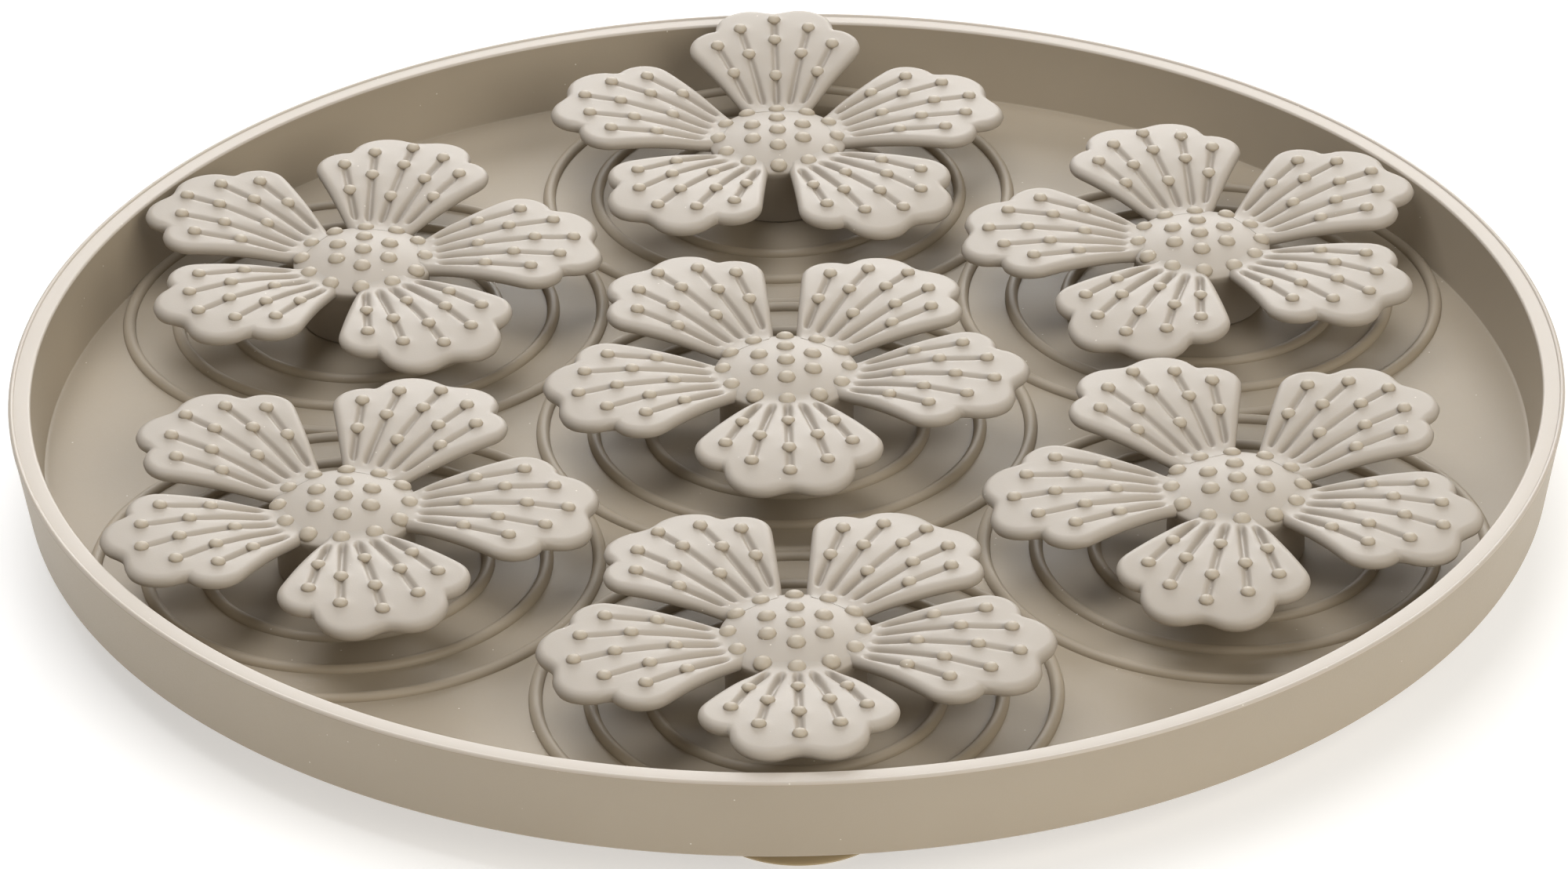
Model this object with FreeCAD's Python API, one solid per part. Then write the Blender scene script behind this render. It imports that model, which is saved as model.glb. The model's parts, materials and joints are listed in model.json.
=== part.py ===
import FreeCAD, Part
import math
import os

# Silicone snuffle mat: a shallow round tray that carries seven five-petal flowers.
# Each flower's hollow stem ends in a soft plug that is snapped through the tray floor, where it can turn.
# Six suction cups are bonded to the underside, one outboard of each outer flower.
# Millimetres. Z = 0 is the table under the suction cups, and X = Y = 0 is the middle of the tray.

# Petals
PETAL_REACH = 47.4       # flower axis to the tip of a petal
PETAL_WIDTH = 35.8       # across the two side lobes
PETAL_THICK = 2.5
TIP_LOBE_R = 7.0
TIP_LOBE_OFFSET = 5.2    # petal centre line to the centre of a tip lobe
SIDE_LOBE_R = 6.3
SIDE_LOBE_SETBACK = 14.6  # petal tip back to the centre of a side lobe
ROOT_WIDTH = 14.6
ROOT_TOP = 13.2          # top face above the tray floor: at the root, at the crest and at the tip
CREST_TOP = 15.8
TIP_TOP = 14.9
CREST_SHARE = 0.57       # how far from root to tip the crest lies
BENT_PETAL_LIFT = 8.0    # degrees that the back flower's outward petal stands up

# Grooves and nubs: each petal has five grooves, with nubs standing along them
GROOVE_R = 0.75
GROOVE_DEPTH = 0.55
ROOT_PITCH = 2.6         # groove to groove at the root
TIP_PITCH = 8.8          # groove to groove, carried on to the tip
NUB_R = 1.4
NUB_HEIGHT = 1.2
NUB_ROWS = {0: (0.27, 0.61, 0.84), 1: (0.46, 0.74), 2: (0.28, 0.55)}  # shares of the way to the tip

# Stem and dome of a flower
STEM_R = 13.0
DOME_R = 14.0
DOME_TOP = 14.9          # above the tray floor
DOME_CURVE_R = 44.0
DOME_NUB_R = 1.65
DOME_NUB_HEIGHT = 0.9
DOME_NUB_RINGS = ((6.0, 6), (12.4, 12))  # ring radius and number of nubs

# Plug under a stem: a neck through the tray floor and a flange that holds it from below
PLUG_NECK_R = 8.0
PLUG_CLEARANCE = 0.05    # radial, neck to the hole in the tray floor
PLUG_FLANGE_R = 10.0
PLUG_FLANGE_THICK = 2.0
PLUG_END_GAP = 0.1       # flange to the underside of the tray
BORE_R = 5.0             # the stem is hollow, so that the plug can be squeezed through its hole
BORE_TOP = 8.5           # above the tray floor

# Layout
PETAL_GAP = 1.8          # between the tips of two flowers that point at each other
WALL_GAP = 0.1           # petal tip to the foot of the tray wall, which leans away above it

# Tray
FLOOR_THICK = 2.0
WALL_HEIGHT = 15.2       # rim above the tray floor
RIM_WIDTH = 4.3
INNER_DRAFT = 1.6        # how far the inner face leans out over its height
OUTER_DRAFT = 2.5        # how far the outer face leans in from rim to underside
RIM_ROUND = 0.8          # rounded inner edge of the rim
LIP_HEIGHT = 0.5         # upright band around the top of the tapered outer wall
RIB_RADII = (26.6, 37.6, 47.5)
RIB_WIDTH = 2.3
RIB_HEIGHT = 1.1

# Suction cups
CUP_HEIGHT = 9.0         # table to the underside of the tray
CUP_R = 18.0
CUP_LIP = 1.0            # width of the flat land that touches the table
CUP_EDGE = 0.9           # thickness of the skirt at its edge
CUP_HOLLOW = 4.0
CUP_NECK_R = 7.0
CUP_NECK_HEIGHT = 1.6
CUP_PAD_R = 9.0          # round pad bonded to the tray
CUP_PAD_THICK = 1.2
CUP_TO_STEM = 9.4        # outer flower's stem to the middle of its cup

FLOWER_SPACING = 2 * PETAL_REACH + PETAL_GAP
FLOOR_R = FLOWER_SPACING + PETAL_REACH + WALL_GAP
RIM_INNER_R = FLOOR_R + INNER_DRAFT
RIM_R = RIM_INNER_R + RIM_WIDTH
FLOOR_Z = CUP_HEIGHT + FLOOR_THICK
CUP_RING_R = FLOWER_SPACING + STEM_R + CUP_TO_STEM
OUTER_FLOWERS = {"front": -90, "right_front": -30, "right_back": 30,
                 "back": 90, "left_back": 150, "left_front": 210}

UP = FreeCAD.Vector(0, 0, 1)
AXIS_START = FreeCAD.Vector(0, 0, 0)


def revolve(points):
    """Solid of revolution about Z from (radius, height) points; a triple is an arc's middle point."""
    edges = []
    start = points[0]
    middle = None
    for point in points[1:] + points[:1]:
        if len(point) == 3:
            middle = point
            continue
        a = FreeCAD.Vector(start[0], 0, start[1])
        b = FreeCAD.Vector(point[0], 0, point[1])
        if middle:
            edges.append(Part.Arc(a, FreeCAD.Vector(middle[0], 0, middle[1]), b).toShape())
        else:
            edges.append(Part.makeLine(a, b))
        start = point
        middle = None
    return Part.Face(Part.Wire(edges)).revolve(AXIS_START, UP, 360)


def petal_top(r):
    """Height of a petal's top face above the tray floor, on one arc from root over crest to tip."""
    crest_r = DOME_R + CREST_SHARE * (PETAL_REACH - DOME_R)
    rise = (CREST_TOP - ROOT_TOP) / (crest_r - DOME_R)
    fall = (TIP_TOP - CREST_TOP) / (PETAL_REACH - crest_r)
    bend = (fall - rise) / (PETAL_REACH - DOME_R)
    return ROOT_TOP + rise * (r - DOME_R) + bend * (r - DOME_R) * (r - crest_r)


def petal_outline():
    """Upright block with the plan shape of a petal: a fan with two side lobes and two tip lobes."""
    tall = CREST_TOP + PETAL_THICK
    side = (PETAL_REACH - SIDE_LOBE_SETBACK, PETAL_WIDTH / 2 - SIDE_LOBE_R)
    tip = (PETAL_REACH - TIP_LOBE_R, TIP_LOBE_OFFSET)
    root = (DOME_R, ROOT_WIDTH / 2)
    reach = math.hypot(side[0] - root[0], side[1] - root[1])
    lean = math.atan2(side[1] - root[1], side[0] - root[0]) + math.asin(SIDE_LOBE_R / reach)
    run = math.sqrt(reach ** 2 - SIDE_LOBE_R ** 2)
    touch = (root[0] + run * math.cos(lean), root[1] + run * math.sin(lean))
    inner = (STEM_R / 2, ROOT_WIDTH / 2)
    half = [inner, root, touch, side, tip]
    loop = half + [(r, -s) for r, s in reversed(half)] + [inner]
    fan = Part.Face(Part.makePolygon([FreeCAD.Vector(r, s, 0) for r, s in loop]))
    block = fan.extrude(FreeCAD.Vector(0, 0, tall))
    lobes = []
    for mirror in (1, -1):
        lobes.append(Part.makeCylinder(SIDE_LOBE_R, tall, FreeCAD.Vector(side[0], mirror * side[1], 0)))
        lobes.append(Part.makeCylinder(TIP_LOBE_R, tall, FreeCAD.Vector(tip[0], mirror * tip[1], 0)))
    return block.fuse(lobes)


def petal_shell():
    """Thin arched ring that gives every petal its top and bottom face."""
    middle_r = (DOME_R + PETAL_REACH) / 2
    outer_r = PETAL_REACH + 1
    inner_r = STEM_R / 2 + 1
    top = [(inner_r, ROOT_TOP), (DOME_R, ROOT_TOP), (middle_r, petal_top(middle_r), "arc"),
           (outer_r, petal_top(outer_r))]
    bottom = [(outer_r, petal_top(outer_r) - PETAL_THICK),
              (middle_r, petal_top(middle_r) - PETAL_THICK, "arc"),
              (DOME_R, ROOT_TOP - PETAL_THICK), (inner_r, ROOT_TOP - PETAL_THICK)]
    return revolve(top + bottom)


def groove_point(row, share, lift=0.0):
    """Point above a groove of a petal, a share of the way from the dome to the tip."""
    r = DOME_R + share * (PETAL_REACH - DOME_R)
    s = row * (ROOT_PITCH + share * (TIP_PITCH - ROOT_PITCH))
    return FreeCAD.Vector(r, s, petal_top(r) + lift)


def groove(row, shares):
    """Round cutter that runs along one groove, from the root to its last nub."""
    lift = GROOVE_R - GROOVE_DEPTH
    ends = [groove_point(row, share, lift) for share in (0.02, shares[-1] / 2, shares[-1])]
    path = Part.Wire([Part.Arc(*ends).toShape()])
    section = Part.Wire([Part.makeCircle(GROOVE_R, ends[0], path.Edges[0].tangentAt(0))])
    return path.makePipeShell([section], True, False)


def cap(point, base_r, height, direction=UP):
    """Ball whose top stands proud of a face as a nub of the given base radius and height."""
    ball_r = (base_r ** 2 + height ** 2) / (2 * height)
    return Part.makeSphere(ball_r, point + direction * (height - ball_r))


def make_petal():
    """One petal pointing along +X, from inside the dome to its tip."""
    petal = petal_outline().common(petal_shell())
    cutters = []
    nubs = []
    for size, shares in NUB_ROWS.items():
        for row in sorted({size, -size}):
            cutters.append(groove(row, shares))
            for share in shares:
                nubs.append(cap(groove_point(row, share), NUB_R, NUB_HEIGHT))
    return petal.cut(cutters).fuse(nubs)


def make_flower_core():
    """Dome with its nubs, hollow stem and plug of a flower; height 0 is the tray floor."""
    edge_z = DOME_TOP - DOME_CURVE_R + math.sqrt(DOME_CURVE_R ** 2 - DOME_R ** 2)
    mid_r = DOME_R / 2
    mid_z = DOME_TOP - DOME_CURVE_R + math.sqrt(DOME_CURVE_R ** 2 - mid_r ** 2)
    shoulder_z = ROOT_TOP - PETAL_THICK
    flange_top = -FLOOR_THICK - PLUG_END_GAP
    flange_base = flange_top - PLUG_FLANGE_THICK
    core = revolve([(BORE_R, flange_base), (PLUG_FLANGE_R, flange_base), (PLUG_FLANGE_R, flange_top),
                    (PLUG_NECK_R, flange_top), (PLUG_NECK_R, 0), (STEM_R, 0),
                    (STEM_R, shoulder_z - (DOME_R - STEM_R)), (DOME_R, shoulder_z),
                    (DOME_R, edge_z), (mid_r, mid_z, "arc"), (0, DOME_TOP), (0, BORE_TOP),
                    (BORE_R, BORE_TOP)])
    nubs = [cap(FreeCAD.Vector(0, 0, DOME_TOP), DOME_NUB_R, DOME_NUB_HEIGHT)]
    for ring_r, count in DOME_NUB_RINGS:
        tilt = math.asin(ring_r / DOME_CURVE_R)
        for i in range(count):
            turn = 2 * math.pi * i / count
            out = FreeCAD.Vector(math.sin(tilt) * math.cos(turn), math.sin(tilt) * math.sin(turn),
                                 math.cos(tilt))
            foot = FreeCAD.Vector(0, 0, DOME_TOP - DOME_CURVE_R) + out * DOME_CURVE_R
            nubs.append(cap(foot, DOME_NUB_R, DOME_NUB_HEIGHT, out))
    return core.fuse(nubs)


def make_flower(core, petal, first_lift=0.0):
    """Flower on its own axis, its first petal along +X and standing up by first_lift degrees."""
    petals = []
    for i in range(5):
        leaf = petal.copy()
        if i == 0:
            hinge = FreeCAD.Vector(DOME_R, 0, ROOT_TOP - PETAL_THICK / 2)
            leaf.rotate(hinge, FreeCAD.Vector(0, 1, 0), -first_lift)
        leaf.rotate(AXIS_START, UP, 72 * i)
        petals.append(leaf)
    return core.fuse(petals)


def make_tray(centres):
    """Round tray with a flat floor, raised ribs around each flower and a hole for each plug."""
    rim_z = FLOOR_Z + WALL_HEIGHT
    corner = RIM_ROUND * (1 - math.sqrt(0.5))
    tray = revolve([(0, CUP_HEIGHT), (RIM_R - OUTER_DRAFT, CUP_HEIGHT), (RIM_R, rim_z - LIP_HEIGHT),
                    (RIM_R, rim_z), (RIM_INNER_R + RIM_ROUND, rim_z),
                    (RIM_INNER_R + corner, rim_z - corner, "arc"), (RIM_INNER_R, rim_z - RIM_ROUND),
                    (FLOOR_R, FLOOR_Z), (0, FLOOR_Z)])
    holes = []
    ribs = []
    inside = Part.makeCylinder(FLOOR_R + RIM_WIDTH / 2, FLOOR_THICK / 2 + RIB_HEIGHT,
                               FreeCAD.Vector(0, 0, FLOOR_Z - FLOOR_THICK / 2))
    for x, y in centres:
        base = FreeCAD.Vector(x, y, FLOOR_Z - FLOOR_THICK / 2)
        height = FLOOR_THICK / 2 + RIB_HEIGHT
        for radius in RIB_RADII:
            outer = Part.makeCylinder(radius + RIB_WIDTH / 2, height, base)
            ribs.append(outer.cut(Part.makeCylinder(radius - RIB_WIDTH / 2, height, base)))
        holes.append(Part.makeCylinder(PLUG_NECK_R + PLUG_CLEARANCE, 2 * FLOOR_Z, FreeCAD.Vector(x, y, 0)))
    ribs = ribs[0].fuse(ribs[1:]).common(inside)
    return tray.fuse(ribs).cut(holes)


def make_cup():
    """Suction cup standing on the table, with a short neck and a pad that is bonded to the tray."""
    pad_base = CUP_HEIGHT - CUP_PAD_THICK
    bell_top = pad_base - CUP_NECK_HEIGHT
    bell_mid = (0.62 * CUP_R + 0.38 * CUP_NECK_R, CUP_EDGE + 0.42 * (bell_top - CUP_EDGE), "arc")
    hollow_r = CUP_R - CUP_LIP
    hollow_mid = (0.6 * hollow_r, 0.7 * CUP_HOLLOW, "arc")
    return revolve([(0, CUP_HOLLOW), hollow_mid, (hollow_r, 0), (CUP_R, 0), (CUP_R, CUP_EDGE), bell_mid,
                    (CUP_NECK_R, bell_top), (CUP_NECK_R, pad_base), (CUP_PAD_R, pad_base),
                    (CUP_PAD_R, CUP_HEIGHT), (0, CUP_HEIGHT)])


def save(name, shape):
    """Write one node, checked to be a single valid solid."""
    if len(shape.Solids) != 1 or not shape.isValid():
        raise ValueError(name + " is not one valid solid")
    shape.Solids[0].exportStep(os.path.join("parts", name + ".step"))


def place(shape, x, y, z, turn):
    """Copy of a shape, turned about its own upright axis and moved into place."""
    copy = shape.copy()
    copy.rotate(AXIS_START, UP, turn)
    copy.translate(FreeCAD.Vector(x, y, z))
    return copy


def ring_place(radius, azimuth):
    """X and Y at a radius from the middle of the tray."""
    return radius * math.cos(math.radians(azimuth)), radius * math.sin(math.radians(azimuth))


os.makedirs("parts", exist_ok=True)
petal = make_petal()
core = make_flower_core()
flower = make_flower(core, petal)
bent_flower = make_flower(core, petal, BENT_PETAL_LIFT)
cup = make_cup()

centres = {"centre": (0.0, 0.0)}
turns = {"centre": -90}
for name, azimuth in OUTER_FLOWERS.items():
    centres[name] = ring_place(FLOWER_SPACING, azimuth)
    turns[name] = azimuth
    cup_x, cup_y = ring_place(CUP_RING_R, azimuth)
    save("suction_cup_" + name, place(cup, cup_x, cup_y, 0, 0))

save("tray", make_tray(list(centres.values())))
for name, (x, y) in centres.items():
    shape = bent_flower if name == "back" else flower
    save("flower_" + name, place(shape, x, y, FLOOR_Z, turns[name]))
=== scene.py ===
import json
import math
import bpy
import numpy as np
from mathutils import Matrix, Vector


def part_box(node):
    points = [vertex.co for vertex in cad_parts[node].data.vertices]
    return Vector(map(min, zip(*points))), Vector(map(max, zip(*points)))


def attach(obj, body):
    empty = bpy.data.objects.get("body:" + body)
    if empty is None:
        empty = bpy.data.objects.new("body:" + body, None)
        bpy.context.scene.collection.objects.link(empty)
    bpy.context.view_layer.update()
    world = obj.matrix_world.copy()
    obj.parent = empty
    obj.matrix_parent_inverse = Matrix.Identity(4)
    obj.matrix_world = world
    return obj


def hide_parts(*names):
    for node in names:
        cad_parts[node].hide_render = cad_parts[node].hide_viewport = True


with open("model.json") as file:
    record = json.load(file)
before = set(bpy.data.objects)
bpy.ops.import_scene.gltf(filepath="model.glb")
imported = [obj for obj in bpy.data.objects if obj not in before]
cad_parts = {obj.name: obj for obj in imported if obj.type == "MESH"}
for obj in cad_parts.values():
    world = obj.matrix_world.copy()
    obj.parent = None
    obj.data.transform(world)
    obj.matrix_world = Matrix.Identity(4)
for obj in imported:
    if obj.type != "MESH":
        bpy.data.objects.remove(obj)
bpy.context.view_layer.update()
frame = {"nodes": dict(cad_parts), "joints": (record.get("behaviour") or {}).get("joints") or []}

# Sizes of the mouldings in millimetres, measured from a flower's own axis and up from the tray floor.
MM = 0.001
PETAL_REACH = 47.4
PETAL_WIDTH = 35.8
PETAL_THICK = 2.5
TIP_LOBE = {"radius": 7.0, "offset": 5.2}
SIDE_LOBE = {"radius": 6.3, "setback": 14.6}
NOTCH_SOFTNESS = 1.6
ROOT_WIDTH = 14.6
ROOT_TOP = 13.2
CREST_TOP = 15.8
TIP_TOP = 14.9
CREST_SHARE = 0.57
TOP_ROUND = 1.5          # width of the rounded upper edge of a petal
UNDER_ROUND = 1.1
ROOT_PITCH = 2.6
TIP_PITCH = 8.8
GROOVE_R = 0.56
GROOVE_DEPTH = 0.8
ROOT_PLEAT_DEPTH = 0.2   # how much deeper the grooves are at the root
ROOT_SWELL = 0.4         # height of the rounded cords between the grooves at the root
PETAL_START = 11.0       # radius at which a petal begins inside the dome
PETAL_ROWS = 66          # grid rows along a petal
DOME_FILLET = 0.45
NUB_R = 1.43
NUB_FOOT = 0.3           # height of the soft foot that a nub stands on
NUB_HEIGHT_SHARE = 0.56  # a nub's height as a share of its radius
NUB_ROWS = {0: (0.27, 0.61, 0.84), 1: (0.46, 0.74), 2: (0.28, 0.55)}
STEM_R = 13.0
STEM_LIFT = 0.03         # keeps the stem's foot just clear of the tray floor
DOME_R = 14.0
DOME_TOP = 14.9
DOME_CURVE_R = 44.0
DOME_NUB_R = 1.8
DOME_NUB_RINGS = ((6.0, 6), (12.4, 12))
PLUG_NECK_R = 8.0
PLUG_FLANGE_R = 10.0
PLUG_FLANGE_THICK = 2.0
PLUG_END_GAP = 0.1       # play between the flange and the tray's underside
BORE_R = 5.0
BORE_TOP = 8.5
RIB_RADII = (26.6, 37.6, 47.5)
RIB_WIDTH = 2.6
RIM_WIDTH = 4.3
RIM_ROUND = 0.6
RIM_BEAD_R = 0.55        # raised bead along the rim's outer edge
RIM_DISH = 0.3           # depth of the rim's face below the bead
INNER_DRAFT = 1.6
FLOOR_THICK = 2.0
PLUG_HOLE_R = 8.05

# How far each petal of each flower stands up or sags, in degrees, first petal outward, then anticlockwise.
PETAL_SET = {
    "flower_centre": (-1.6, 3.4, -1.6, 0.6, 0.4),
    "flower_front": (4.6, 0.9, -4.4, -3.4, 0.8),
    "flower_right_front": (1.2, 3.8, 1.2, -2.8, -4.2),
    "flower_right_back": (2.6, 0.8, -2.2, -3.0, 1.4),
    "flower_back": (8.0, 3.0, 0.8, -2.4, -1.0),
    "flower_left_back": (2.2, 3.0, -1.8, -2.6, 0.6),
    "flower_left_front": (3.2, -0.8, -3.4, -1.2, 2.4),
}


def srgb(code):
    """Linear colour from an sRGB hex code."""
    parts = [int(code[i:i + 2], 16) / 255 for i in (1, 3, 5)]
    return [p / 12.92 if p <= 0.04045 else ((p + 0.055) / 1.055) ** 2.4 for p in parts] + [1.0]


def add(tree, kind, links=(), **settings):
    """Adds a node; settings are its properties or input values, links are (output, input name) pairs."""
    node = tree.nodes.new(kind)
    for key, value in settings.items():
        if hasattr(node, key):
            setattr(node, key, value)
        else:
            node.inputs[key.replace("_", " ")].default_value = value
    for source, target in links:
        tree.links.new(source, node.inputs[target])
    return node


def silicone(name, light, dark, gloss, depth_mm, glow, grain_mm=0.35, cloud_mm=26.0, lint_mm=5.0):
    """Compression-moulded silicone: satin, see-through at thin edges, fine spark-eroded grain, stray lint."""
    material = bpy.data.materials.new(name)
    material.use_nodes = True
    tree = material.node_tree
    tree.nodes.clear()
    place = add(tree, "ShaderNodeTexCoord").outputs["Object"]
    cloud = add(tree, "ShaderNodeTexNoise", [(place, "Vector")], Scale=1 / (cloud_mm * MM), Detail=3.0)
    grain = add(tree, "ShaderNodeTexNoise", [(place, "Vector")], Scale=1 / (grain_mm * MM), Detail=2.0)
    tint = add(tree, "ShaderNodeMix", [(cloud.outputs["Fac"], "Factor")], data_type="RGBA")
    tint.inputs["A"].default_value = srgb(dark)
    tint.inputs["B"].default_value = srgb(light)
    cell = add(tree, "ShaderNodeTexVoronoi", [(place, "Vector")], Scale=1 / (lint_mm * MM))
    lint = add(tree, "ShaderNodeMapRange", [(cell.outputs["Distance"], "Value")], From_Min=0.2 / lint_mm,
               From_Max=0.1 / lint_mm)
    dusted = add(tree, "ShaderNodeMix", [(lint.outputs["Result"], "Factor"), (tint.outputs["Result"], "A")],
                 data_type="RGBA")
    dusted.inputs["B"].default_value = srgb("#d8d2c8")
    rough = add(tree, "ShaderNodeMapRange", [(grain.outputs["Fac"], "Value")], To_Min=gloss - 0.06,
                To_Max=gloss + 0.08)
    bump = add(tree, "ShaderNodeBump", [(grain.outputs["Fac"], "Height")], Strength=0.35, Distance=0.03 * MM)
    shader = add(tree, "ShaderNodeBsdfPrincipled", [(dusted.outputs["Result"], "Base Color"),
                 (rough.outputs["Result"], "Roughness"), (bump.outputs["Normal"], "Normal")],
                 IOR=1.41, Subsurface_Weight=glow, Subsurface_Scale=depth_mm * MM)
    shader.inputs["Subsurface Radius"].default_value = (1.0, 0.72, 0.45)
    add(tree, "ShaderNodeOutputMaterial", [(shader.outputs["BSDF"], "Surface")])
    return material


TRAY_SILICONE = silicone("tray_moulded_silicone", "#a79b89", "#a09482", 0.48, 1.2, 0.12)
# The rim's top face is a paler copy of the tray's silicone, a painted highlight for the light it catches, and
# it is smoother (less rough) than the grained walls.
RIM_PAINTED_HIGHLIGHT_SILICONE = silicone("rim_painted_highlight_silicone", "#bcb3a7", "#b6aca0", 0.38, 1.2, 0.12)
FLOWER_SILICONE = silicone("flower_moulded_silicone", "#b0a79c", "#aaa195", 0.48, 1.0, 0.12)
NUB_SILICONE = silicone("nub_moulded_silicone", "#b4a999", "#aea391", 0.46, 1.0, 0.12)
CUP_SILICONE = silicone("suction_cup_silicone", "#b9a887", "#b09e7c", 0.34, 1.5, 0.2)


def lathe(profile, steps, close=True):
    """Vertices and faces of a profile of (radius, height) points turned about Z; radius 0 is a pole."""
    verts = []
    faces = []
    rings = []
    for r, z in profile:
        if r == 0:
            rings.append([len(verts)])
            verts.append((0, 0, z))
            continue
        start = len(verts)
        rings.append(list(range(start, start + steps)))
        turn = np.arange(steps) * 2 * math.pi / steps
        verts.extend(zip(r * np.cos(turn), r * np.sin(turn), [z] * steps))
    if close:
        rings.append(rings[0])
    for low, high in zip(rings, rings[1:]):
        for i in range(steps):
            j = (i + 1) % steps
            corners = [low[i % len(low)], low[j % len(low)], high[j % len(high)], high[i % len(high)]]
            corners = list(dict.fromkeys(corners))
            if len(corners) > 2:
                faces.append(corners)
    return np.array(verts, float), faces


def arc(centre, radius, start, end, steps):
    """Points of an arc in a lathe profile, angles in degrees."""
    angles = np.radians(np.linspace(start, end, steps))
    return [(centre[0] + radius * math.cos(a), centre[1] + radius * math.sin(a)) for a in angles]


def mesh_object(name, parts, material, sharp=40, at=(0, 0, 0), marks=None):
    """One mesh object from (vertices in mm, faces) parts, moved to its place inside the mesh."""
    verts = []
    faces = []
    for v, f in parts:
        start = sum(len(x) for x in verts)
        verts.append(v)
        faces.extend([[i + start for i in face] for face in f])
    verts = np.concatenate(verts) * MM + np.array(at, float)
    mesh = bpy.data.meshes.new(name)
    mesh.from_pydata(verts.tolist(), [], faces)
    if marks is not None:
        layer = mesh.attributes.new("nub_radius", "FLOAT", "POINT")
        layer.data.foreach_set("value", (np.concatenate(marks) * MM).astype(np.float32))
    mesh.materials.append(material)
    mesh.polygons.foreach_set("use_smooth", [True] * len(mesh.polygons))
    mesh.set_sharp_from_angle(angle=math.radians(sharp))
    mesh.update()
    obj = bpy.data.objects.new(name, mesh)
    bpy.context.collection.objects.link(obj)
    return obj


def smoothstep(x, low, high):
    """0 below low, 1 above high, with a smooth rise between."""
    t = np.clip((x - low) / (high - low), 0, 1)
    return t * t * (3 - 2 * t)


def petal_arch(r):
    """Height of a petal's top face: up from the root, over a crest, down to the tip."""
    crest_r = DOME_R + CREST_SHARE * (PETAL_REACH - DOME_R)
    rise = (CREST_TOP - ROOT_TOP) / (crest_r - DOME_R)
    fall = (TIP_TOP - CREST_TOP) / (PETAL_REACH - crest_r)
    bend = (fall - rise) / (PETAL_REACH - DOME_R)
    return ROOT_TOP + rise * (r - DOME_R) + bend * (r - DOME_R) * (r - crest_r)


def dome_height(r):
    """Height of the shallow dome's surface at a radius."""
    return DOME_TOP - DOME_CURVE_R + np.sqrt(DOME_CURVE_R ** 2 - np.minimum(r, 20) ** 2)


def petal_columns():
    """Column positions across a petal, -1 to 1, closer together at the five grooves and at both edges."""
    share = ROOT_PITCH / (ROOT_WIDTH / 2)
    stops = [-1, -2 * share, -share, 0, share, 2 * share, 1]
    columns = []
    for a, b in zip(stops, stops[1:]):
        t = np.arange(16) / 16
        t = 0.3 * t + 0.7 * (1 - np.cos(math.pi * t)) / 2
        columns.extend(a + (b - a) * t)
    return np.array(columns + [1.0])


def petal_slope(v):
    """Sideways run per millimetre of reach of a column: the grooves' fan, opening faster at the edge."""
    share = 2 * ROOT_PITCH / (ROOT_WIDTH / 2)
    fan = (TIP_PITCH - ROOT_PITCH) / (PETAL_REACH - DOME_R) / (ROOT_PITCH / (ROOT_WIDTH / 2))
    side = (PETAL_REACH - SIDE_LOBE["setback"], PETAL_WIDTH / 2 - SIDE_LOBE["radius"])
    reach = math.hypot(side[0] - DOME_R, side[1] - ROOT_WIDTH / 2)
    lean = math.atan2(side[1] - ROOT_WIDTH / 2, side[0] - DOME_R) + math.asin(SIDE_LOBE["radius"] / reach)
    flare = np.clip((abs(v) - share) / (1 - share), 0, 1) ** 1.6
    return fan * v + np.sign(v) * (math.tan(lean) - fan) * flare


def petal_length(v, slope):
    """How far each column runs along X until it leaves the last lobe, with softened notches."""
    lobes = []
    for mirror in (1, -1):
        lobes.append((PETAL_REACH - TIP_LOBE["radius"], mirror * TIP_LOBE["offset"], TIP_LOBE["radius"]))
        lobes.append((PETAL_REACH - SIDE_LOBE["setback"],
                      mirror * (PETAL_WIDTH / 2 - SIDE_LOBE["radius"]), SIDE_LOBE["radius"]))
    total = np.zeros(len(v))
    for x, y, radius in lobes:
        dx = x - DOME_R
        dy = y - v * ROOT_WIDTH / 2
        size = 1 + slope ** 2
        along = (dx + dy * slope) / size
        inside = along ** 2 - (dx ** 2 + dy ** 2 - radius ** 2) / size
        # A column that just touches its lobe ends at the touching point.
        out = np.where(inside > -0.6, along + np.sqrt(np.maximum(inside, 0)), 0)
        total += np.exp(out / NOTCH_SOFTNESS)
    return NOTCH_SOFTNESS * np.log(total)


def edge_distance(x, y):
    """Distance from every point of a petal's grid to the petal's sides and tip."""
    edge = np.stack([np.concatenate([x[:, 0], x[-1], x[::-1, -1]]),
                     np.concatenate([y[:, 0], y[-1], y[::-1, -1]])], 1)
    starts = edge[:-1]
    runs = edge[1:] - starts
    squares = np.maximum((runs ** 2).sum(1), 1e-9)
    point = np.stack([x.ravel(), y.ravel()], 1)
    near = np.full(len(point), 1e9)
    for start, run, square in zip(starts, runs, squares):
        s = np.clip(((point - start) @ run) / square, 0, 1)
        near = np.minimum(near, np.hypot(*(point - start - s[:, None] * run).T))
    return near.reshape(x.shape)


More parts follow.
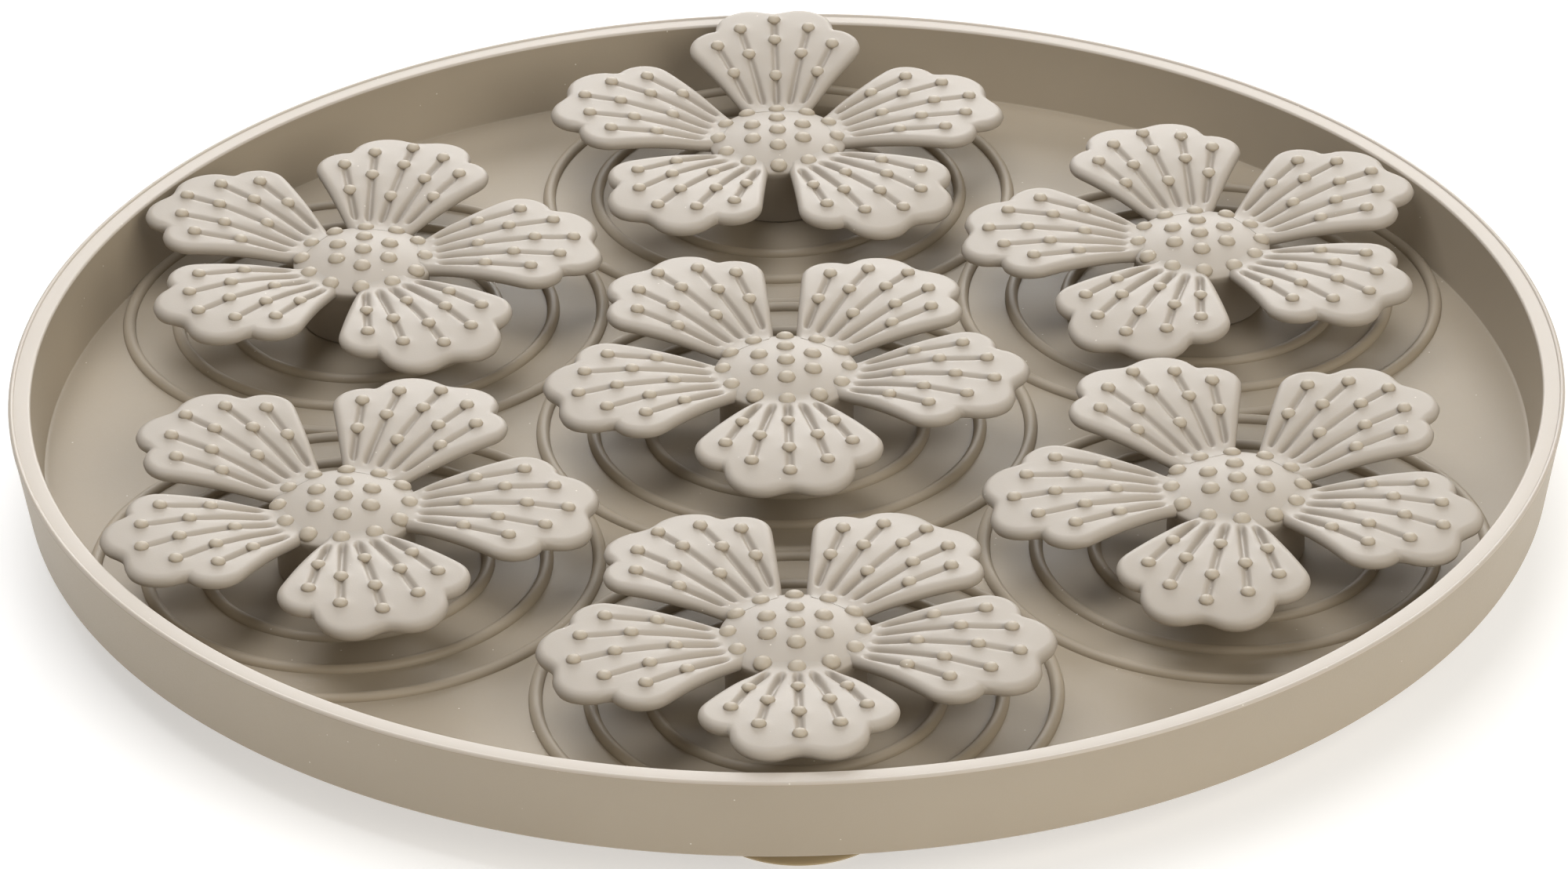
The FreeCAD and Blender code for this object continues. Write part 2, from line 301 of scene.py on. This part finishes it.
def petal_relief(x, y, share, place):
    """Height of the grooves, nub feet and root cords, and the nub radius at the points that carry a nub."""
    pitch = np.maximum(ROOT_PITCH + share * (TIP_PITCH - ROOT_PITCH), 1.0)
    relief = np.zeros(x.shape)
    marks = np.zeros(x.shape)
    for row in range(-2, 3):
        shares = NUB_ROWS[abs(row)]
        away = np.abs(place - row) * pitch
        fade = smoothstep(share, 0.005, 0.06) * (1 - smoothstep(share, shares[-1] - 0.05, shares[-1] + 0.01))
        depth = GROOVE_DEPTH + ROOT_PLEAT_DEPTH * (1 - smoothstep(share, 0.05, 0.45))
        channel = depth * fade * np.exp(-(away / GROOVE_R) ** 3)
        column = int(np.argmin(abs(place[0] - row)))
        for nub_share in shares:
            site = int(np.argmin(abs(share[:, column] - nub_share)))
            marks[site, column] = NUB_R
            away = (x - x[site, column]) ** 2 + (y - y[site, column]) ** 2
            channel *= 1 - 0.9 * np.exp(-away / 1.0)
            relief += NUB_FOOT * np.exp(-away / 2.6)
        relief -= channel
    # Between the grooves the root is pleated into rounded cords that flatten out towards the lobes.
    phase = np.clip(place, -2.8, 2.8)
    swell = (1 - smoothstep(share, 0.05, 0.6)) * smoothstep(share, 0.0, 0.08)
    relief -= swell * ROOT_SWELL * np.cos(math.pi * phase) ** 2
    return relief, marks


def shell_faces(rows, columns):
    """Faces of an upper and a lower grid that share the vertices of their sides and tip."""
    top_id = np.arange(rows * columns).reshape(rows, columns)
    low_id = top_id + rows * columns
    low_id[-1] = top_id[-1]
    low_id[:, 0] = top_id[:, 0]
    low_id[:, -1] = top_id[:, -1]
    faces = []
    for i in range(rows - 1):
        for j in range(columns - 1):
            faces.append([top_id[i, j], top_id[i + 1, j], top_id[i + 1, j + 1], top_id[i, j + 1]])
            faces.append([low_id[i, j], low_id[i, j + 1], low_id[i + 1, j + 1], low_id[i + 1, j]])
    for j in range(columns - 1):
        faces.append([top_id[0, j], top_id[0, j + 1], low_id[0, j + 1], low_id[0, j]])
    return [list(dict.fromkeys(int(i) for i in face)) for face in faces]


def petal(rise):
    """Closed petal along +X, standing up by rise degrees: vertices, faces and each vertex's nub radius."""
    v = petal_columns()
    slope = petal_slope(v)
    length = petal_length(v, slope)
    t = np.linspace(0, 1, PETAL_ROWS)
    t = 0.7 * t + 0.3 * np.sin(t * math.pi / 2)
    start = PETAL_START - DOME_R
    run = start + (length[None, :] - start) * t[:, None]
    x = DOME_R + run
    y = (v * ROOT_WIDTH / 2)[None, :] + slope[None, :] * run
    near = edge_distance(x, y)
    r = np.hypot(x, y)
    share = (x - DOME_R) / (PETAL_REACH - DOME_R)
    # The petal's arch and the dome run into each other through a small fillet.
    top = DOME_FILLET * np.log(np.exp(petal_arch(r) / DOME_FILLET) + np.exp(dome_height(r) / DOME_FILLET))
    middle = petal_arch(r) - PETAL_THICK / 2
    relief, marks = petal_relief(x, y, share, v[None, :] / (ROOT_PITCH / (ROOT_WIDTH / 2)))
    half = PETAL_THICK / 2
    upper = np.sqrt(1 - (1 - np.clip(near / TOP_ROUND, 0, 1)) ** 2)
    lower = np.sqrt(1 - (1 - np.clip(near / UNDER_ROUND, 0, 1)) ** 2)
    z_top = middle + (top - middle) * upper + relief * smoothstep(near, 0.2, 1.6)
    z_low = middle - half * lower
    lift = np.radians(rise) * smoothstep(r, DOME_R, DOME_R + 9)
    verts = []
    for z in (z_top, z_low):
        out = x - DOME_R
        up = z - (ROOT_TOP - half)
        verts.append(np.stack([DOME_R + out * np.cos(lift) - up * np.sin(lift), y,
                               ROOT_TOP - half + out * np.sin(lift) + up * np.cos(lift)], 2).reshape(-1, 3))
    faces = shell_faces(*x.shape)
    verts = np.concatenate(verts)
    marks = np.concatenate([marks.ravel(), np.zeros(x.size)])
    used = np.unique(np.concatenate([np.array(face) for face in faces]))
    renumber = np.full(len(verts), -1)
    renumber[used] = np.arange(len(used))
    faces = [[int(renumber[i]) for i in face] for face in faces if len(face) > 2]
    return verts[used], faces, marks[used]


def flower_core():
    """Dome, hollow stem and plug, with the dome's rings laid through its nubs."""
    steps = 96
    radii = [0, 1.5, 3, 4.5, 6.0, 7.6, 9.2, 10.8, 12.4, 13.1]
    dome = [(r, float(dome_height(np.array(r)))) for r in radii]
    skirt = arc((DOME_R - 0.6, dome[-1][1] - 1.1), 0.7, 60, 0, 5)
    flange_top = -FLOOR_THICK - PLUG_END_GAP
    flange_low = flange_top - PLUG_FLANGE_THICK
    stem = [(DOME_R, 11.2), (DOME_R - 0.4, 10.2), (STEM_R, 9.4), (STEM_R, 0.5), (STEM_R - 0.4, STEM_LIFT),
            (PLUG_NECK_R, STEM_LIFT), (PLUG_NECK_R, flange_top), (PLUG_FLANGE_R - 0.3, flange_top),
            (PLUG_FLANGE_R, flange_top - 0.3), (PLUG_FLANGE_R, flange_low + 0.8),
            (PLUG_FLANGE_R - 0.8, flange_low), (BORE_R + 0.4, flange_low), (BORE_R, flange_low + 0.4),
            (BORE_R, BORE_TOP - 2), (BORE_R - 0.6, BORE_TOP - 0.6), (BORE_R - 2, BORE_TOP), (0, BORE_TOP)]
    profile = dome + skirt + stem
    verts, faces = lathe(profile, steps, close=False)
    # The profile runs from the top down, so its faces are turned over to look outward.
    faces = [face[::-1] for face in faces]
    marks = np.zeros(len(verts))
    marks[0] = DOME_NUB_R
    for ring_r, count in DOME_NUB_RINGS:
        start = 1 + (radii.index(ring_r) - 1) * steps
        marks[start + np.arange(count) * steps // count] = DOME_NUB_R
    return verts, faces, marks


def turned(verts, degrees):
    """Points turned about Z."""
    a = math.radians(degrees)
    return verts @ np.array([[math.cos(a), math.sin(a), 0], [-math.sin(a), math.cos(a), 0], [0, 0, 1]])


def nub_tree():
    """Sets a low round nub on every marked vertex, sunk into the surface along its normal."""
    tree = bpy.data.node_groups.new("moulded_nubs", "GeometryNodeTree")
    tree.interface.new_socket("Geometry", in_out="INPUT", socket_type="NodeSocketGeometry")
    sides = tree.interface.new_socket("Sides", in_out="INPUT", socket_type="NodeSocketInt")
    flatness = tree.interface.new_socket("Height Share", in_out="INPUT", socket_type="NodeSocketFloat")
    tree.interface.new_socket("Geometry", in_out="OUTPUT", socket_type="NodeSocketGeometry")
    given = add(tree, "NodeGroupInput")
    size = add(tree, "GeometryNodeInputNamedAttribute", data_type="FLOAT",
               Name="nub_radius").outputs["Attribute"]
    marked = add(tree, "FunctionNodeCompare", [(size, "A")], data_type="FLOAT", operation="GREATER_THAN",
                 B=0.1 * MM)
    normal = add(tree, "GeometryNodeInputNormal").outputs[0]
    facing = add(tree, "FunctionNodeAlignRotationToVector", [(normal, "Vector")], axis="Z")
    ball = add(tree, "GeometryNodeMeshUVSphere", [(given.outputs["Sides"], "Segments")], Rings=6, Radius=1.0)
    smooth = add(tree, "GeometryNodeSetShadeSmooth", [(ball.outputs["Mesh"], "Geometry")])
    stretch = add(tree, "ShaderNodeCombineXYZ", [(given.outputs["Height Share"], "Z")], X=1.0, Y=1.0)
    low = add(tree, "GeometryNodeTransform", [(smooth.outputs[0], "Geometry"), (stretch.outputs[0], "Scale")])
    nubs = add(tree, "GeometryNodeInstanceOnPoints", [(given.outputs["Geometry"], "Points"),
               (marked.outputs["Result"], "Selection"), (low.outputs["Geometry"], "Instance"),
               (facing.outputs["Rotation"], "Rotation"), (size, "Scale")])
    real = add(tree, "GeometryNodeRealizeInstances", [(nubs.outputs["Instances"], "Geometry")])
    paint = add(tree, "GeometryNodeSetMaterial", [(real.outputs[0], "Geometry")], Material=NUB_SILICONE)
    joined = add(tree, "GeometryNodeJoinGeometry")
    for part in (paint.outputs[0], given.outputs["Geometry"]):
        tree.links.new(part, joined.inputs[0])
    add(tree, "NodeGroupOutput", [(joined.outputs[0], "Geometry")])
    return tree, {sides.identifier: 12, flatness.identifier: NUB_HEIGHT_SHARE}


def rib_tree():
    """Sets the rings of ribs on every point: half-round ribs, each a closed tube half sunk in the floor."""
    tree = bpy.data.node_groups.new("floor_ribs", "GeometryNodeTree")
    tree.interface.new_socket("Geometry", in_out="INPUT", socket_type="NodeSocketGeometry")
    width = tree.interface.new_socket("Rib Radius", in_out="INPUT", socket_type="NodeSocketFloat")
    names = [tree.interface.new_socket("Ring %d" % i, in_out="INPUT", socket_type="NodeSocketFloat")
             for i in range(len(RIB_RADII))]
    tree.interface.new_socket("Geometry", in_out="OUTPUT", socket_type="NodeSocketGeometry")
    given = add(tree, "NodeGroupInput")
    section = add(tree, "GeometryNodeCurvePrimitiveCircle", [(given.outputs["Rib Radius"], "Radius")],
                  Resolution=10)
    rings = add(tree, "GeometryNodeJoinGeometry")
    for i in range(len(RIB_RADII)):
        path = add(tree, "GeometryNodeCurvePrimitiveCircle", [(given.outputs["Ring %d" % i], "Radius")],
                   Resolution=144)
        tube = add(tree, "GeometryNodeCurveToMesh", [(path.outputs["Curve"], "Curve"),
                   (section.outputs["Curve"], "Profile Curve")])
        tree.links.new(tube.outputs["Mesh"], rings.inputs[0])
    smooth = add(tree, "GeometryNodeSetShadeSmooth", [(rings.outputs[0], "Geometry")])
    sets = add(tree, "GeometryNodeInstanceOnPoints", [(given.outputs["Geometry"], "Points"),
               (smooth.outputs[0], "Instance")])
    real = add(tree, "GeometryNodeRealizeInstances", [(sets.outputs["Instances"], "Geometry")])
    paint = add(tree, "GeometryNodeSetMaterial", [(real.outputs[0], "Geometry")], Material=TRAY_SILICONE)
    add(tree, "NodeGroupOutput", [(paint.outputs[0], "Geometry")])
    values = {width.identifier: RIB_WIDTH / 2 * MM}
    values.update({n.identifier: r * MM for n, r in zip(names, RIB_RADII)})
    return tree, values


def grown(obj, tree, values):
    """Plain mesh that a tree makes from an object, put back on the object with no modifier left."""
    grow = obj.modifiers.new(tree.name, "NODES")
    grow.node_group = tree
    for key, value in values.items():
        grow[key] = value
    bpy.context.view_layer.update()
    mesh = bpy.data.meshes.new_from_object(obj.evaluated_get(bpy.context.evaluated_depsgraph_get()))
    obj.modifiers.remove(grow)
    obj.data = mesh
    return obj


def joined(name, objects):
    """One object from several, keeping each one's materials."""
    bpy.ops.object.select_all(action="DESELECT")
    for obj in objects:
        obj.select_set(True)
    bpy.context.view_layer.objects.active = objects[0]
    bpy.ops.object.join()
    objects[0].name = name
    return objects[0]


SITES = {j["child"]: Vector(j["pos_m"]) for j in frame["joints"]}
NUBS = nub_tree()
RIBS = rib_tree()


def make_flower(node, site):
    """Dome and stem with five petals and all nubs, standing for one flower."""
    turn = -90 if node == "flower_centre" else math.degrees(math.atan2(site.y, site.x))
    core, core_faces, core_marks = flower_core()
    parts = [(turned(core, turn), core_faces)]
    marks = [core_marks]
    for i, rise in enumerate(PETAL_SET[node]):
        verts, faces, nubs = petal(rise)
        parts.append((turned(verts, turn + 72 * i), faces))
        marks.append(nubs)
    flower = mesh_object(node + "_moulding", parts, FLOWER_SILICONE, sharp=50, at=site, marks=marks)
    grown(flower, *NUBS)
    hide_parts(node)
    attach(flower, node)


def make_tray():
    """Floor, wall and rim turned in one piece, with plug holes cut through and ribs set on the floor."""
    low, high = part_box("tray")
    rim_r = (high.x - low.x) / 2 / MM
    under = low.z / MM
    rim = high.z / MM
    floor = under + FLOOR_THICK
    inner_r = rim_r - RIM_WIDTH
    foot_r = inner_r - INNER_DRAFT
    profile = [(0, under), (rim_r - 2.9, under), (rim_r - 2.5, under + 0.4), (rim_r - 0.1, rim - 0.75)]
    profile += arc((rim_r - RIM_BEAD_R, rim - RIM_BEAD_R), RIM_BEAD_R, -10, 135, 8)
    profile += [(rim_r - 1.05, rim - RIM_DISH)]
    profile += arc((inner_r + RIM_ROUND, rim - RIM_DISH - RIM_ROUND), RIM_ROUND, 90, 174, 6)
    profile += [(foot_r + 0.12, floor + 0.5), (foot_r - 0.1, floor + 0.12), (foot_r - 0.5, floor),
                (foot_r - 0.9, floor), (0, floor)]
    verts, faces = lathe(profile, 360, close=False)
    tray = mesh_object("tray_moulding", [(verts, faces)], TRAY_SILICONE, sharp=35)
    cutters = []
    for site in SITES.values():
        rod = [(0, -5), (PLUG_HOLE_R, -5), (PLUG_HOLE_R, 3), (0, 3)]
        cutters.append(mesh_object("cutter", [lathe(rod, 96, close=False)], TRAY_SILICONE, at=site))
    cutter = joined("cutter", cutters)
    cut = tray.modifiers.new("plug_holes", "BOOLEAN")
    cut.object = cutter
    cut.solver = "EXACT"
    mesh = bpy.data.meshes.new_from_object(tray.evaluated_get(bpy.context.evaluated_depsgraph_get()))
    mesh.set_sharp_from_angle(angle=math.radians(35))
    # The rim's upward faces take the paler rim material: a painted highlight for the light the rim catches.
    mesh.materials.append(RIM_PAINTED_HIGHLIGHT_SILICONE)
    for face in mesh.polygons:
        if face.center.z > (rim - 0.7) * MM and face.normal.z > 0.3:
            face.material_index = len(mesh.materials) - 1
    tray.modifiers.remove(cut)
    tray.data = mesh
    bpy.data.objects.remove(cutter)
    ribs = bpy.data.objects.new("ribs", bpy.data.meshes.new("ribs"))
    ribs.data.from_pydata([tuple(s) for s in SITES.values()], [], [])
    bpy.context.collection.objects.link(ribs)
    grown(ribs, *RIBS)
    tray = joined("tray_moulding", [tray, ribs])
    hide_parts("tray")
    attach(tray, "tray")


def make_cup(node):
    """Thin-lipped suction cup with a short neck and a bonding pad."""
    low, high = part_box(node)
    radius = (high.x - low.x) / 2 / MM
    height = (high.z - low.z) / MM
    outside = [(radius - 0.5, 0), (radius - 0.1, 0.15), (radius, 0.5), (radius - 0.3, 0.9), (radius - 2, 1.5),
               (radius - 5, 2.7), (radius - 8, 4.2), (radius - 10, 5.3), (radius - 10.9, 6.1),
               (radius - 11, 7.4), (radius - 10.6, 7.8), (radius - 9.3, 7.9), (radius - 9, 8.2),
               (radius - 9, height), (0, height)]
    inside = [(0, 4.0), (3, 3.95), (7, 3.5), (11, 2.3), (14, 1.1), (radius - 1.6, 0.35), (radius - 1, 0)]
    middle = (low + high) / 2
    cup = mesh_object(node + "_moulding", [lathe(inside + outside, 96, close=False)], CUP_SILICONE,
                      at=(middle.x, middle.y, low.z))
    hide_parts(node)
    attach(cup, "tray")


make_tray()
for node, site in SITES.items():
    make_flower(node, site)
for node in [n for n in frame["nodes"] if n.startswith("suction_cup")]:
    make_cup(node)


def make_floor(size=3.0):
    """White acrylic sheet under the mat, lit a little from below so that shadows on it stay faint."""
    material = bpy.data.materials.new("white_backlit_acrylic")
    material.use_nodes = True
    tree = material.node_tree
    shader = tree.nodes["Principled BSDF"]
    shader.inputs["Roughness"].default_value = 0.9
    shader.inputs["Emission Color"].default_value = srgb("#ffffff")
    shader.inputs["Emission Strength"].default_value = 0.46
    place = add(tree, "ShaderNodeTexCoord").outputs["Object"]
    cloud = add(tree, "ShaderNodeTexNoise", [(place, "Vector")], Scale=6.0)
    tint = add(tree, "ShaderNodeMix", [(cloud.outputs["Fac"], "Factor")], data_type="RGBA")
    tint.inputs["A"].default_value = srgb("#d2d1cf")
    tint.inputs["B"].default_value = srgb("#d6d5d3")
    tree.links.new(tint.outputs["Result"], shader.inputs["Base Color"])
    corners = [(x * size / 2, y * size / 2, 0) for x, y in ((-1, -1), (1, -1), (1, 1), (-1, 1))]
    mesh = bpy.data.meshes.new("floor")
    mesh.from_pydata(corners, [], [(0, 1, 2, 3)])
    mesh.materials.append(material)
    floor = bpy.data.objects.new("floor", mesh)
    bpy.context.collection.objects.link(floor)


def make_light(name, place, size, power, colour="#ffffff"):
    """Square softbox that looks at the middle of the mat."""
    lamp = bpy.data.lights.new(name, "AREA")
    lamp.shape = "SQUARE"
    lamp.size = size
    lamp.energy = power
    lamp.color = srgb(colour)[:3]
    obj = bpy.data.objects.new(name, lamp)
    bpy.context.collection.objects.link(obj)
    obj.location = place
    obj.rotation_euler = (-Vector(place)).to_track_quat("-Z", "Y").to_euler()


def make_camera():
    """Long lens from the front, 30 degrees above the table, turned and rolled by under a degree."""
    aim = Vector((-0.6, -0.8, SITES["flower_centre"].z / MM - 1.3)) * MM
    distance = 1.274
    elevation = math.radians(30.12)
    turn = math.radians(0.59)
    roll = math.radians(-0.85)
    flat = math.cos(elevation)
    back = Vector((-math.sin(turn) * flat, -math.cos(turn) * flat, math.sin(elevation)))
    lens = bpy.data.cameras.new("camera")
    lens.lens = 150.2
    lens.clip_end = 20
    camera = bpy.data.objects.new("camera", lens)
    bpy.context.collection.objects.link(camera)
    facing = back.to_track_quat("Z", "Y").to_matrix().to_4x4() @ Matrix.Rotation(roll, 4, "Z")
    camera.matrix_world = Matrix.Translation(aim + back * distance) @ facing
    bpy.context.scene.camera = camera


make_floor()
make_light("overhead_softbox", (-0.25, 0.15, 1.3), 1.1, 12.5, "#f8faff")
make_light("front_fill", (0.9, -1.05, 0.85), 1.2, 14.5, "#fffaf0")
make_light("back_sheen", (0.1, 1.55, 0.62), 1.0, 17, "#ffffff")
world = bpy.data.worlds.new("studio")
world.use_nodes = True
world.node_tree.nodes["Background"].inputs["Color"].default_value = srgb("#fffaf0")
world.node_tree.nodes["Background"].inputs["Strength"].default_value = 0.25
bpy.context.scene.world = world
bpy.context.scene.view_settings.view_transform = "Standard"
make_camera()
